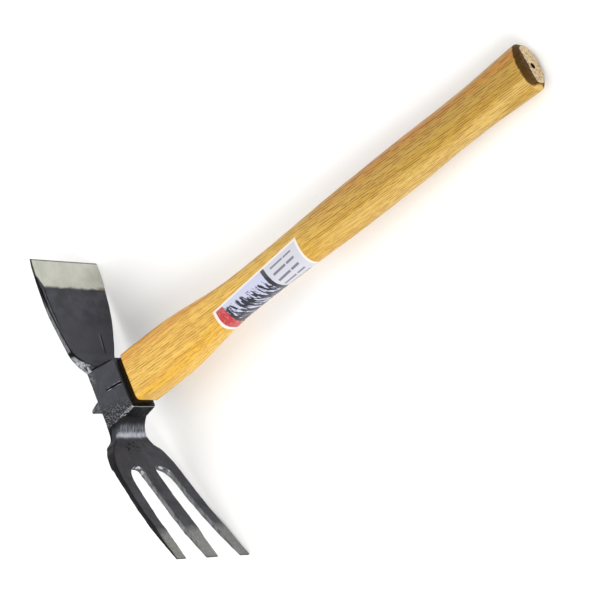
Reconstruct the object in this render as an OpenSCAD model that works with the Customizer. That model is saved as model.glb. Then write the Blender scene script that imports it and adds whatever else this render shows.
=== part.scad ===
// Hand cultivator: a forged hoe blade and a three-tine fork on one eye,
// fitted with a short oval wooden handle. +X runs along the handle to its
// butt, +Y to the cutting edge, +Z out of one flat side. All sizes in mm.
// The origin is the mouth of the small hole in the butt.

/* [Node] */
// Which piece to draw

/* [Handle] */
// Length from the eye's mouth to the butt
reach = 350; // [200:1:700]
// Bare tenon left between the eye's mouth and the shoulder
shoulder_gap = 5; // [1:0.5:12]
// Height of the squared part behind the shoulder
head_tall = 34.8; // [24:0.2:50]
// Width of the squared part
head_wide = 21; // [14:0.2:34]
// Height of the slim waist behind the squared part
waist_tall = 24.8; // [18:0.2:40]
// Width of the slim waist
waist_wide = 20; // [14:0.2:32]
// Height of the grip
grip_tall = 28.8; // [20:0.2:44]
// Width of the grip
grip_wide = 21.6; // [14:0.2:34]
// Height of the shallow dip before the butt
dip_tall = 27.2; // [18:0.2:42]
// Height of the butt
butt_tall = 30.4; // [20:0.2:48]
// Width of the butt
butt_wide = 21.2; // [14:0.2:34]
// Chamfer round the butt
butt_chamfer = 2.9; // [0.5:0.1:6]
// How far the handle's middle line rises to the butt
butt_rise = 1.1; // [0:0.1:10]
// Radius of the hole in the butt
hole_r = 1.5; // [0.5:0.1:4]
// Depth of the hole in the butt
hole_deep = 8; // [3:0.5:30]

/* [Eye] */
// Depth of the eye along the handle
eye_deep = 25.5; // [16:0.5:45]
// Width of the eye over its side walls
eye_wide = 21.6; // [14:0.2:36]
// Height of the eye's mouth above the handle's axis
eye_above = 17.3; // [10:0.1:28]
// Height of the eye's mouth below the handle's axis
eye_below = 18.6; // [10:0.1:28]
// Wall thickness of the eye
eye_wall = 3; // [1.5:0.1:6]
// Slope of the eye's top, rising to the back, in degrees
top_slope = 9.5; // [0:0.5:20]
// Slope of the eye's bottom, falling to the back, in degrees
bottom_slope = 8.5; // [0:0.5:20]
// Outside corner radius of the eye
eye_corner = 2.4; // [0.5:0.1:5]
// Width of the open seam on one side wall
seam_wide = 0.8; // [0.3:0.1:2]
// Length of the open seam
seam_long = 15; // [4:0.5:24]

/* [Tenon and wedge] */
// Gap left between the tenon and the eye's walls
tenon_gap = 0; // [0:0.05:0.5]
// Length of tenon standing out behind the eye
tenon_proud = 1; // [0:0.1:4]
// Thickness of the wedge at the eye's back face
wedge_thick = 6.4; // [2:0.1:10]
// Length of wedge left standing out behind the eye
wedge_proud = 11.5; // [3:0.5:20]
// Depth that the wedge reaches into the tenon
wedge_sunk = 19; // [8:0.5:30]
// Width of the wedge
wedge_wide = 14; // [6:0.2:24]

/* [Blade] */
// Height of the cutting edge above the handle's axis
edge_y = 100.2; // [70:0.2:150]
// Height at which the ground bevel starts
bevel_y = 79; // [50:0.5:110]
// Half width of the blade at its cutting edge
edge_half = 29.4; // [18:0.2:50]
// Half width at the widest point of the blade
wide_half = 29.9; // [18:0.2:50]
// Thickness of the blade at its foot
foot_thick = 3.6; // [1.5:0.1:6]
// Thickness of the blade where the bevel starts
blade_thick = 2.3; // [1:0.1:5]
// Thickness left at the cutting edge
edge_thick = 0.9; // [0.3:0.1:2]
// Lean of the blade towards the handle, in degrees
blade_lean = 4.6; // [0:0.2:15]

/* [Fork] */
// Distance of the tine tips below the handle's axis
tip_y = 127; // [80:0.5:180]
// Half width over the tines at their tips
tip_half = 31.9; // [20:0.1:50]
// Half width over the palm at the tine roots
palm_half = 26.4; // [16:0.1:40]
// Width of the middle tine at its root
middle_wide = 11.6; // [5:0.2:18]
// Width of the middle tine at its tip
middle_tip = 9.4; // [4:0.2:18]
// Width of each outer tine at its tip
outer_tip = 7.8; // [4:0.1:16]
// Distance of the slots' highest points below the handle's axis
root_y = 52; // [40:0.5:90]
// Thickness of the palm at its outer edges
palm_thick = 7.8; // [3:0.1:12]
// Thickness of the palm in the middle, over the hollow in its back
hollow_thick = 4; // [2:0.1:10]
// Thickness of the tines behind their ground tips
tine_thick = 3.5; // [2:0.1:8]
// Thickness left at the tine tips
tip_thick = 1.4; // [0.5:0.1:4]
// Length of the ground chisel faces at the tips
chisel_long = 24; // [8:0.5:50]
// Bending radius of the tines on their inner face
tine_bend = 320; // [150:5:900]
// Radius of the inner corner between eye and palm
neck_fillet = 8.8; // [4:0.1:16]

/* [Label] */
// Distance of the label's near end from the eye's mouth
label_start = 87; // [60:1:150]
// Length of the label
label_long = 78; // [30:1:110]
// Thickness of the label
label_thick = 0.15; // [0.08:0.01:0.5]

/* [Hidden] */
$fn = 48;
past = 1;                            // how far a cutter runs past a face
far = 60;                            // half size of a cutter that covers the head
eye_back = -eye_deep;
window_half = eye_wide / 2 - eye_wall;
window_top = eye_above - eye_wall;
window_bottom = -eye_below + eye_wall;

// ---- curves ----
// a smooth curve through pts, with steps pieces between each two
function knot(pts, i) = pts[min(len(pts) - 1, max(0, i))];
function between(a, b, c, d, t) =
    b + (c - a) * t / 2 + (2 * a - 5 * b + 4 * c - d) * t * t / 2
      + (3 * b - a - 3 * c + d) * t * t * t / 2;
function smooth(pts, steps) = concat(
    [for (i = [0 : len(pts) - 2], s = [0 : steps - 1])
        between(knot(pts, i - 1), pts[i], pts[i + 1], knot(pts, i + 2), s / steps)],
    [pts[len(pts) - 1]]);
// a half outline of [half width, height] made whole, as [height, width] points
function mirrored(half) = concat([for (p = half) [p[1], p[0]]],
    [for (i = [len(half) - 1 : -1 : 0]) [half[i][1], -half[i][0]]]);

// ---- handle ----
// each row: distance from the eye's mouth, half height, half width, squareness
// of the section, rise of its middle
chamfer_x = reach - butt_chamfer;
dip_wide = (grip_wide + butt_wide) / 2;
shape = [
    [shoulder_gap, head_tall / 2 - 0.8, head_wide / 2 - 0.2, 6.5, 0],
    [24, head_tall / 2, head_wide / 2, 4.6, 0],
    [34, head_tall / 2, head_wide / 2, 4.6, 0],
    [106, waist_tall / 2, waist_wide / 2, 2.5, butt_rise * 0.5],
    [126, waist_tall / 2, waist_wide / 2, 2.4, butt_rise * 0.55],
    [reach * 0.62, grip_tall / 2, grip_wide / 2, 2.2, butt_rise * 0.55],
    [reach * 0.71, grip_tall / 2, grip_wide / 2, 2.2, butt_rise * 0.6],
    [reach * 0.82, dip_tall / 2, dip_wide / 2, 2.2, butt_rise * 0.85],
    [reach * 0.86, dip_tall / 2, dip_wide / 2, 2.2, butt_rise * 0.9],
    [chamfer_x, butt_tall / 2, butt_wide / 2, 2.2, butt_rise]];
function eased(t) = t * t * (3 - 2 * t);
function row_of(x, i = 0) = i >= len(shape) - 2 || x <= shape[i + 1][0] ? i : row_of(x, i + 1);
function size_at(x) = let(i = row_of(x), a = shape[i], b = shape[i + 1],
    t = min(1, max(0, (x - a[0]) / (b[0] - a[0])))) a + (b - a) * eased(t);
function signed(v, p) = sign(v) * pow(abs(v), p);
sides = 44;
function ring_point(x, j, grow) = let(s = size_at(x), turn = 360 * j / sides)
    [x, s[4] + (s[1] + grow) * signed(cos(turn), 2 / s[3]),
        (s[2] + grow) * signed(sin(turn), 2 / s[3])];
function ring(x, grow) = [for (j = [0 : sides - 1]) ring_point(x, j, grow)];
function at_x(pts, x) = [for (p = pts) [x, p[1], p[2]]];
label_end = label_start + label_long;
label_rings = 13;
label_xs = [for (i = [0 : label_rings]) label_start + label_long * i / label_rings];
front_xs = [for (i = [0 : 14]) shoulder_gap + 1.5 + (label_start - shoulder_gap - 1.5) * i / 15];
rear_xs = [for (i = [1 : 30]) label_end + (chamfer_x - label_end) * i / 30];
rings = concat([at_x(ring(shoulder_gap, -1.2), shoulder_gap)],
    [for (x = concat(front_xs, label_xs, rear_xs)) ring(x, 0)],
    [at_x(ring(chamfer_x, -butt_chamfer), reach)]);

module skin(grid, closed) {
    rows = len(grid);
    cols = len(grid[0]);
    polyhedron(
        points = [for (r = grid) each r],
        faces = concat(
            [[for (j = [0 : cols - 1]) j]],
            [[for (j = [cols - 1 : -1 : 0]) (rows - 1) * cols + j]],
            [for (i = [0 : rows - 2], j = [0 : cols - 1]) let(k = (j + 1) % cols)
                [i * cols + j, (i + 1) * cols + j, (i + 1) * cols + k, i * cols + k]]),
        convexity = 4);
}

module wedge_solid() {
    tip = eye_back + wedge_sunk;
    end = eye_back - wedge_proud;
    half = wedge_thick / 2;
    translate([0, -1.4, -wedge_wide / 2]) linear_extrude(wedge_wide)
        polygon(concat([[eye_back, -half], [tip, -0.5], [tip, 0.5], [eye_back, half]],
            smooth([[end + 7.6, half * 0.86], [end + 4, half * 0.56], [end + 1.2, half * 0.18],
                [end, -half * 0.3], [end + 1, -half * 0.62], [end + 5, -half * 0.92]], 3)));
}

module tenon() {
    half = window_half - tenon_gap;
    tall = window_top - window_bottom - 2 * tenon_gap;
    translate([eye_back - tenon_proud, window_bottom + tenon_gap, -half])
        cube([eye_deep + tenon_proud + shoulder_gap + 6, tall, 2 * half]);
}

module handle() {
    color("burlywood") difference() {
        union() {
            skin(rings);
            tenon();
        }
        translate([reach - hole_deep, 0, 0]) rotate([0, 90, 0])
            cylinder(r = hole_r, h = hole_deep + past);
        wedge_solid();
    }
}

module label() {
    first = 12;                      // the ring points that the label covers
    last = 32;
    inner = [for (x = label_xs) [for (j = [first : last]) ring_point(x, j, 0)]];
    outer = [for (x = label_xs) [for (j = [last : -1 : first]) ring_point(x, j, label_thick)]];
    color("ivory") skin([for (i = [0 : len(label_xs) - 1]) concat(inner[i], outer[i])]);
}

// ---- eye ----
// a bar along X with rounded long edges, from low to high in Y
module bar(low, high, half, corner) {
    translate([-far, 0, 0]) rotate([90, 0, 90]) linear_extrude(2 * far) union() {
        translate([low, -half + corner]) square([high - low, 2 * (half - corner)]);
        translate([low + corner, -half]) square([high - low - 2 * corner, 2 * half]);
        for (y = [low + corner, high - corner], z = [-half + corner, half - corner])
            translate([y, z]) circle(corner);
    }
}

module eye_outside() {
    intersection() {
        translate([0, eye_above, 0]) rotate([0, 0, -top_slope])
            bar(-far, 0, eye_wide / 2, eye_corner);
        translate([0, -eye_below, 0]) rotate([0, 0, bottom_slope])
            bar(0, far, eye_wide / 2, eye_corner);
        translate([eye_back, -far, -far]) cube([eye_deep, 2 * far, 2 * far]);
    }
}

module eye_band() {
    color("dimgray") difference() {
        eye_outside();
        translate([eye_back - past, window_bottom, -window_half])
            cube([eye_deep + 2 * past, window_top - window_bottom, 2 * window_half]);
        translate([past, 0.5, eye_wide / 2 - 1.2]) rotate([0, 0, -7.5])
            translate([-seam_long - past, -seam_wide / 2, 0])
                cube([seam_long + 2 * past, seam_wide, 3]);
    }
}

// a plate: its side view in XY, cut to its front view in YZ
module plate(side, front) {
    intersection() {
        translate([0, 0, -far]) linear_extrude(2 * far) polygon(side);
        translate([-far, 0, 0]) rotate([90, 0, 90]) linear_extrude(3 * far) polygon(front);
    }
}

// ---- blade ----
function eye_top(x) = eye_above - x * tan(top_slope);
foot_y = eye_top(eye_back) - 2.3;    // where the blade's neck meets the eye
bend_y = foot_y + 13.7;              // where the neck's curve runs out
function blade_x(y) = eye_back + 1.9 + (y - bend_y) * tan(blade_lean);
eye_half = eye_wide / 2;
blade_half = smooth([
    [eye_half - 0.2, foot_y - 2], [eye_half + 0.2, foot_y], [eye_half + 1.6, foot_y + 2.9],
    [eye_half + 5.2, foot_y + 8.7], [eye_half + 8, foot_y + 13.4],
    [wide_half - 6.7, foot_y + 26.6], [wide_half - 2.5, foot_y + 42.7],
    [wide_half - 0.9, bevel_y - 3], [wide_half, (bevel_y + edge_y) / 2 + 1],
    [edge_half, edge_y]], 5);
blade_neck = smooth([[eye_back + 5.1, foot_y - 1.5], [eye_back + 4.9, foot_y + 2.9],
    [eye_back + 4, foot_y + 6.2], [eye_back + 2.7, foot_y + 9.7],
    [blade_x(bend_y), bend_y]], 4);

module blade_shape() {
    grind = (blade_thick - edge_thick) / 2;
    side = concat(blade_neck,
        [[blade_x(bevel_y), bevel_y],
         [blade_x(edge_y) - grind, edge_y],
         [blade_x(edge_y) - grind - edge_thick, edge_y],
         [blade_x(bevel_y) - blade_thick, bevel_y],
         [blade_x(bend_y) - foot_thick, bend_y],
         [eye_back - 2, foot_y + 8.4], [eye_back - 1.6, foot_y + 4.7],
         [eye_back, foot_y - 0.6], [eye_back, foot_y - 1.5]]);
    difference() {
        plate(side, mirrored(blade_half));
        eye_outside();
    }
}

module above(y) {
    translate([-far, y, -far]) cube([3 * far, 3 * far, 2 * far]);
}

module blade() {
    color("slategray") difference() {
        blade_shape();
        above(bevel_y);
    }
}

module blade_steel() {
    color("silver") intersection() {
        blade_shape();
        above(bevel_y);
    }
}

module blade_weld() {
    // the run leans on the neck up to the neck's third knot
    start = eye_back + 9.1;
    run = smooth([[start, eye_top(start) - 0.3], [eye_back + 7.1, foot_y + 1.9],
        [eye_back + 5.5, foot_y + 4], blade_neck[8]], 4);
    color("gray") difference() {
        plate(concat([[start, foot_y - 1.5]], run, [for (i = [7 : -1 : 0]) blade_neck[i]]),
              mirrored(blade_half));
        eye_outside();
    }
}

// ---- fork ----
neck_y = -34;                        // where the bend of the tines begins
neck_x = eye_back + 7.2;
bend_x = neck_x + tine_bend * cos(9);
bend_top = neck_y + tine_bend * sin(9);
chisel_y = -tip_y + chisel_long;
function tine_x(y) = bend_x - sqrt(pow(tine_bend, 2) - pow(y - bend_top, 2));
function tine_lean(y) = asin((bend_top - y) / tine_bend);
// the palm thins to the tines over its first 40 mm
function back_x(y) = tine_x(y) - (tine_thick
    + (palm_thick - tine_thick) * pow(max(0, 1 - (neck_y - y) / 40), 1.7)) / cos(tine_lean(y));
root_drop = -root_y - neck_y;
// the outer tines' outer edge, k from 0 at the slots' roots to 1 at the tips
function tine_row(k) = [palm_half + (tip_half - palm_half) * pow(k, 0.6),
    -root_y - (tip_y - root_y) * k];
fork_half = smooth(concat(
    [[eye_half - 0.2, -eye_below], [eye_half, -22], [eye_half + 0.4, -25.5],
     [eye_half + 1.6, -29.5], [eye_half + 4.5, neck_y],
     [palm_half - 5.2, neck_y + root_drop * 0.3], [palm_half - 1.3, neck_y + root_drop * 0.75]],
    [for (k = [0, 0.12, 0.3, 0.46, 0.64, 0.86]) tine_row(k)],
    [[tip_half, -tip_y - past]]), 5);
slot_edge = concat(
    [[middle_tip / 2, -tip_y - 2 * past], [middle_wide / 2, chisel_y]],
    smooth(concat(
        [[middle_wide / 2, -root_y - 4], [middle_wide / 2 + 0.8, -root_y - 1.6],
         [middle_wide / 2 + 3.6, -root_y], [palm_half - 13.8, -root_y - 1],
         [palm_half - 10.4, -root_y - 3.4], [palm_half - 8.1, -root_y - 8],
         [palm_half - 7.1, -root_y - 14]],
        [for (k = [0.32, 0.46, 0.64]) tine_row(k) - [outer_tip + 2.4 - 2.6 * k, 0]],
        [[tip_half - outer_tip, -tip_y - 2 * past]]), 5));

module slot() {
    translate([-far, 0, 0]) rotate([90, 0, 90]) linear_extrude(3 * far)
        polygon([for (p = slot_edge) [p[1], p[0]]]);
}

module fork_side() {
    ys = [for (i = [0 : 24]) neck_y + (-tip_y - neck_y) * i / 24];
    translate([0, 0, -far]) linear_extrude(2 * far) polygon(concat(
        [[neck_x, -eye_below]], [for (y = ys) [tine_x(y), y]],
        [for (i = [24 : -1 : 0]) [back_x(ys[i]), ys[i]]],
        [[eye_back, -28], [eye_back, -eye_below]]));
}

// the shallow hollow down the back of the palm
module hollow() {
    r = 38;
    y = -root_y + 2;
    translate([tine_x(y), y, 0]) rotate([0, 0, tine_lean(y)])
        translate([-hollow_thick - r, 28, 0]) rotate([90, 0, 0])
            cylinder(r = r, h = 55, $fn = 240);
}

module fork() {
    tip_x = back_x(-tip_y) + tip_thick;
    start_x = tine_x(chisel_y);
    color("dimgray") difference() {
        intersection() {
            fork_side();
            plate([[-far, -eye_below], [-far, -tip_y], [far, -tip_y], [far, -eye_below]],
                  mirrored(fork_half));
        }
        // the chisel faces ground on the tips
        translate([0, 0, -far]) linear_extrude(2 * far) polygon([[start_x, chisel_y],
            [tip_x, -tip_y], [tip_x, -tip_y - past], [far, -tip_y - past], [far, chisel_y]]);
        slot();
        mirror([0, 0, 1]) slot();
        hollow();
        eye_outside();
    }
}

module fork_weld() {
    run = smooth([[neck_x + neck_fillet, -20], [neck_x + neck_fillet * 0.58, -22.6],
        [neck_x + neck_fillet * 0.31, -25.8], [neck_x + neck_fillet * 0.08, -29.6],
        [neck_x, neck_y]], 4);
    color("gray") difference() {
        plate(concat([[neck_x, -eye_below], [neck_x + neck_fillet, -eye_below]], run),
              mirrored(fork_half));
        eye_outside();
    }
}

module wedge() {
    color("lightgray") wedge_solid();
}

// the whole tool, moved so that the butt is at the origin
translate([-reach, 0, 0]) {
    handle();
    eye_band();
    blade();
    blade_steel();
    blade_weld();
    fork();
    fork_weld();
    wedge();
    label();
}
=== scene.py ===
import math

import bmesh
import bpy
import numpy as np
from mathutils import Matrix, Vector


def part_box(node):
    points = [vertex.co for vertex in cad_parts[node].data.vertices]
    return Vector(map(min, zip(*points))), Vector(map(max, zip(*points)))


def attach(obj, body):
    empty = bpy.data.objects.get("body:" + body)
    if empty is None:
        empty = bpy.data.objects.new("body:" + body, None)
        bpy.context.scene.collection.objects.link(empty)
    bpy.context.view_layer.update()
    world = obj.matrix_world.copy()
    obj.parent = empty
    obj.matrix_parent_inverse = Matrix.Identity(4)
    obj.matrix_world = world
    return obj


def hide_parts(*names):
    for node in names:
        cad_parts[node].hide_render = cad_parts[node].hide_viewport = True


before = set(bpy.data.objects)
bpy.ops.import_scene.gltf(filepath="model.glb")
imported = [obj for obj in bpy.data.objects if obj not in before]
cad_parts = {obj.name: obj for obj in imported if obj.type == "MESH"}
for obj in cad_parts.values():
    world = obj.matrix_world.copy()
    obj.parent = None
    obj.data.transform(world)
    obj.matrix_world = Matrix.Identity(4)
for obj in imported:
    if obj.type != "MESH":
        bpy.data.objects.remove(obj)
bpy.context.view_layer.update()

print("frame loaded")

# lengths below are millimetres from the eye's mouth on the handle's axis: x out along the handle,
# y up towards the cutting edge, z out of the side that faces the camera
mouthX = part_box("eye_band")[1][0]
mm = 0.001


# ---- shapes ----

def lumps(points, size, seed):
    # value noise: a random height from -1 to 1 at each corner of a grid of cubes; a point takes the eight
    # corners round it, each by the product of 3t^2 - 2t^3 along the three axes
    place = np.asarray(points, float) / size
    corner = np.floor(place).astype(np.int64)
    part = place - corner
    part = part * part * (3 - 2 * part)
    total = np.zeros(place.shape[:-1])
    for step in np.ndindex(2, 2, 2):
        at = (corner + np.array(step)) * np.array([374761393, 668265263, 1440662683])
        mixed = (at.sum(axis=-1) + seed * 69069) & 0xffffffff
        for shift, factor in ((13, 1274126177), (15, 2246822519)):
            mixed = ((mixed ^ (mixed >> shift)) * factor) & 0xffffffff
        height = (mixed ^ (mixed >> 16)) / 2.0**31 - 1
        share = np.prod(np.where(np.array(step) == 1, part, 1 - part), axis=-1)
        total += height * share
    return total


def uneven(points, waves):
    # noises added together, each given by its height, size and seed
    return sum(height * lumps(points, size, seed) for height, size, seed in waves)


def curveThrough(knots, count):
    # Catmull-Rom: each span is the cubic that passes its two knots along the line between their neighbours
    knots = np.asarray(knots, float)
    ends = np.vstack([2 * knots[0] - knots[1], knots, 2 * knots[-1] - knots[-2]])
    run = np.linspace(0, len(knots) - 1, count)
    span = np.minimum(run.astype(int), len(knots) - 2)
    t = (run - span)[:, None]
    a, b, c, d = (ends[span + k] for k in range(4))
    return b + (c - a) * t / 2 + (2 * a - 5 * b + 4 * c - d) * t**2 / 2 + (3 * b - a - 3 * c + d) * t**3 / 2


def along(knots, where, perKnot=40):
    # the smooth curve through (position, value) knots, read at each position asked for
    dense = curveThrough(knots, perKnot * len(knots))
    order = np.argsort(dense[:, 0])
    return np.interp(where, dense[order, 0], dense[order, 1])


def easeStep(low, high, value):
    # 0 on the low side, 1 on the high side, 3t^2 - 2t^3 between them
    t = np.clip((value - low) / (high - low), 0, 1)
    return t * t * (3 - 2 * t)


def tangent(degrees):
    return math.tan(math.radians(degrees))


def column(values):
    return values[:, None]


def roundedBox(flatU, flatV, corner):
    # once round a rounded rectangle: how far along each side a point is (-1 to 1), and its outward direction
    quarter = np.linspace(0, math.pi / 2, corner)
    cos, sin = np.cos(quarter), np.sin(quarter)
    sideU, sideV = (np.linspace(-1, 1, count, endpoint=False)[1:] for count in (flatU, flatV))
    parts = [(1, sideV, 1, 0), (1, 1, cos, sin), (-sideU, 1, 0, 1), (-1, 1, -sin, cos)]
    half = np.hstack([np.array(np.broadcast_arrays(*part)) for part in parts])
    # the second half of the way round is the first one with every sign changed
    return dict(zip(("alongU", "alongV", "outU", "outV"), np.hstack([half, -half])))


def boxAt(box, middle, halfV, halfU, r):
    # u and v once round a rounded box: (half - r) times how far along the side, and r times the direction
    u = (halfU - r) * box["alongU"] + r * box["outU"]
    return u, middle + (halfV - r) * box["alongV"] + r * box["outV"]


def ringFaces(rings, columns, closed):
    # four-sided faces between each ring and the next, and between the last ring and the first if closed
    i, j = np.meshgrid(np.arange(rings if closed else rings - 1), np.arange(columns), indexing="ij")
    k, m = (j + 1) % columns, (i + 1) % rings
    return np.stack([i * columns + j, i * columns + k, m * columns + k, m * columns + j], -1)


def makePiece(name, node, slotName, finish, points, faces, caps=(), marks=None, sharp=35, uv=None):
    mesh = bpy.data.meshes.new(name)
    flat = points.reshape(-1, 3) * mm + np.array([mouthX, 0, 0])
    mesh.from_pydata(flat.tolist(), [], faces.reshape(-1, 4).tolist() + [list(c) for c in caps])
    for mark, values in (marks or {}).items():
        layer = mesh.attributes.new(mark, "FLOAT", "POINT")
        layer.data.foreach_set("value", np.asarray(values, np.float32).ravel())
    if uv is not None:
        corners = np.zeros(len(mesh.loops), np.int32)
        mesh.loops.foreach_get("vertex_index", corners)
        layer = mesh.uv_layers.new(name="sheet")
        layer.data.foreach_set("uv", uv.reshape(-1, 2)[corners].astype(np.float32).ravel())
    # points that meet at a cap or a joint become one
    work = bmesh.new()
    work.from_mesh(mesh)
    bmesh.ops.remove_doubles(work, verts=work.verts, dist=2e-6)
    bmesh.ops.dissolve_degenerate(work, edges=work.edges, dist=1e-6)
    bmesh.ops.recalc_face_normals(work, faces=work.faces)
    work.to_mesh(mesh)
    work.free()
    mesh.shade_smooth()
    mesh.set_sharp_from_angle(angle=math.radians(sharp))
    mesh.materials.append(finish)
    piece = bpy.data.objects.new(name, mesh)
    bpy.context.scene.collection.objects.link(piece)
    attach(piece, "root")
    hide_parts(node)


def makeLoft(name, node, slotName, finish, rings, closed=False, **more):
    # a skin over rings of points: walls from each ring to the next, and a cap on each end unless it is closed
    count, columns = rings.shape[:2]
    caps = [] if closed else [range(columns), range((count - 1) * columns, count * columns)]
    makePiece(name, node, slotName, finish, rings, ringFaces(count, columns, closed), caps, **more)


# ---- finishes ----

def paint(red, green, blue):
    # an eye colour from 0 to 255 turned to the light values that shaders work in
    parts = np.array([red, green, blue]) / 255
    light = np.where(parts <= 0.04045, parts / 12.92, ((parts + 0.055) / 1.055) ** 2.4)
    return (*light.tolist(), 1.0)


def joining(kind, swapped=False):
    # a method that joins this value and another in a Math node, the other one first if swapped
    def joined(self, other):
        return self.math(kind, other, self) if swapped else self.math(kind, self, other)
    return joined


class Wire:
    # one output of a node; arithmetic on it adds Math nodes, from either side
    def __init__(self, tree, socket):
        self.tree, self.socket = tree, socket

    def node(self, kind, settings=None, values=None, out=0):
        made = self.tree.nodes.new(kind)
        for key, value in (settings or {}).items():
            setattr(made, key, value)
        for key, value in (values or {}).items():
            if isinstance(value, Wire):
                self.tree.links.new(value.socket, made.inputs[key])
            else:
                made.inputs[key].default_value = value
        return Wire(self.tree, made.outputs[out] if len(made.outputs) else None)

    def math(self, kind, *terms):
        return self.node("ShaderNodeMath", {"operation": kind}, dict(enumerate(terms)))

    __add__, __radd__ = joining("ADD"), joining("ADD", True)
    __sub__, __rsub__ = joining("SUBTRACT"), joining("SUBTRACT", True)
    __mul__, __rmul__ = joining("MULTIPLY"), joining("MULTIPLY", True)
    __truediv__, __rtruediv__ = joining("DIVIDE"), joining("DIVIDE", True)
    __pow__, least, most = joining("POWER"), joining("MINIMUM"), joining("MAXIMUM")

    def __abs__(self):
        return self.math("ABSOLUTE", self)

    def fraction(self):
        return self.math("FRACT", self)

    def ramp(self, low, high):
        # 0 below low, 1 above high, eased between them
        return self.node("ShaderNodeMapRange", {"interpolation_type": "SMOOTHSTEP"},
                         {"Value": self, "From Min": low, "From Max": high})

    def fall(self, low, high):
        # 1 below low, 0 above high
        return 1 - self.ramp(low, high)

    def band(self, middle, full, gone):
        # 1 up to one distance from the middle value, 0 from another on
        return abs(self - middle).fall(full, gone)

    def xyz(self):
        outs = self.node("ShaderNodeSeparateXYZ", {}, {0: self}).socket.node.outputs
        return [Wire(self.tree, outs[k]) for k in range(3)]

    def stretch(self, scale, turn=0.0, shift=(0, 0, 0)):
        # the turn is in degrees about z
        return self.node("ShaderNodeMapping", {}, {"Vector": self, "Scale": scale, "Location": shift,
                                                   "Rotation": (0, 0, math.radians(turn))})

    def noise(self, scale=1.0, detail=2.0, rough=0.5, bend=0.0):
        return self.node("ShaderNodeTexNoise", {}, {"Vector": self, "Scale": scale, "Detail": detail,
                                                    "Roughness": rough, "Distortion": bend})

    def grain(self, scale, detail=2.0, rough=0.5, bend=0.0, shift=(0, 0, 0)):
        # noise with a scale of its own along each axis
        return self.stretch(scale, shift=shift).noise(1, detail, rough, bend)

    def between(self, low, high):
        # this value picks a colour from low (0) to high (1)
        return self.node("ShaderNodeMix", {"data_type": "RGBA", "clamp_factor": True},
                         {0: self, 6: low, 7: high}, 2)


class Finish:
    # a material: its surface shader, the object's own coordinates in millimetres, the marks on the mesh,
    # and a colour that grows coat by coat from the paints in a settings dictionary
    def __init__(self, name, paints, fixed):
        self.material = bpy.data.materials.new(name)
        self.material.use_nodes = True
        tree = self.material.node_tree
        tree.nodes.clear()
        self.paints, self.blank = paints, Wire(tree, None)
        self.surface = self.blank.node("ShaderNodeBsdfPrincipled", {}, fixed)
        self.blank.node("ShaderNodeOutputMaterial", {}, {"Surface": self.surface})
        own = self.blank.node("ShaderNodeTexCoord", {}, {}, 3)
        self.point = own.stretch((1 / mm, 1 / mm, 1 / mm), shift=(-mouthX / mm, 0, 0))
        self.axes = self.point.xyz()

    def mark(self, name):
        return self.blank.node("ShaderNodeAttribute", {"attribute_name": name}, {}, 2)

    def wander(self, scale, rough=0.6):
        # noise about zero, to make an edge uneven
        return self.point.noise(scale, 3, rough) - 0.5

    def mix(self, amount, low, high):
        # from the first paint to the second
        return amount.between(self.paints[low], self.paints[high])

    def lay(self, amount, coat):
        # one more coat over the colour so far: a wire, or a paint's name
        self.colour = amount.between(self.colour, coat if isinstance(coat, Wire) else self.paints[coat])

    def feed(self, **inputs):
        labels = {"colour": "Base Color", "roughness": "Roughness", "metal": "Metallic",
                  "coat": "Coat Weight", "normal": "Normal"}
        for name, wire in {"colour": self.colour, **inputs}.items():
            wire.tree.links.new(wire.socket, self.surface.socket.node.inputs[labels[name]])
        return self.material

    def bump(self, height, strength, distance):
        return self.blank.node("ShaderNodeBump", {}, {"Height": height, "Strength": strength,
                                                      "Distance": distance})


# ---- handle ----

handleSet = {
    # distance from the eye's mouth, half height, half width, squareness, rise of the middle
    "rows": [[5, 16.6, 10.3, 9.0, 0], [24, 17.4, 10.5, 4.6, 0], [34, 17.4, 10.5, 4.6, 0],
             [106, 12.4, 10, 2.5, 0.55], [126, 12.4, 10, 2.4, 0.605], [217, 14.4, 10.8, 2.2, 0.605],
             [248.5, 14.4, 10.8, 2.2, 0.66], [287, 13.6, 10.7, 2.2, 0.935], [301, 13.6, 10.7, 2.2, 0.99],
             [347.1, 15.2, 10.6, 2.2, 1.1]],
    "shoulder": 5, "shoulderRound": 0.6, "chamfer": 2.9, "reach": 350, "holeRadius": 1.5, "holeDepth": 8,
    "tenonBack": -26.5, "tenonTop": 14.3, "tenonBottom": -15.6, "tenonHalf": 7.8, "tenonSquare": 22,
    "around": 132, "step": 1.0,
    "surface": {"Metallic": 0.0, "IOR": 1.45, "Coat Roughness": 0.22, "Coat IOR": 1.45},
    "pithY": 26.0, "pithZ": 15.0, "ringGap": 3.4, "poreGap": 1.15, "poreSlope": 2.5,
    "light": paint(222, 180, 70), "deep": paint(204, 152, 44), "far": paint(154, 122, 28),
    "pore": paint(124, 76, 6), "upperShadeOrange": paint(196, 122, 26), "endGrain": paint(196, 176, 138),
    "woodHighlight": paint(204, 172, 98), "buttEndShade": paint(64, 36, 2), "hole": paint(30, 20, 10),
    "gapShade": paint(30, 22, 10),
}


def handleSize(x):
    # each size eases from one row to the next by 3t^2 - 2t^3
    rows = np.array(handleSet["rows"], float)
    i = np.clip(np.searchsorted(rows[:, 0], x, side="right") - 1, 0, len(rows) - 2)
    t = easeStep(rows[i, 0], rows[i + 1, 0], x)[..., None]
    return rows[i] + (rows[i + 1] - rows[i]) * t


def superRadius(tall, wide, square, turn):
    # superellipse in polar form: radius = (|cos/tall|^n + |sin/wide|^n)^(-1/n), where n is the squareness
    return (np.abs(np.cos(turn) / tall) ** square + np.abs(np.sin(turn) / wide) ** square) ** (-1 / square)


def handleRadius(size, turn, grow):
    return superRadius(size[..., 1] + grow, size[..., 2] + grow, size[..., 3], turn)


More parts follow.
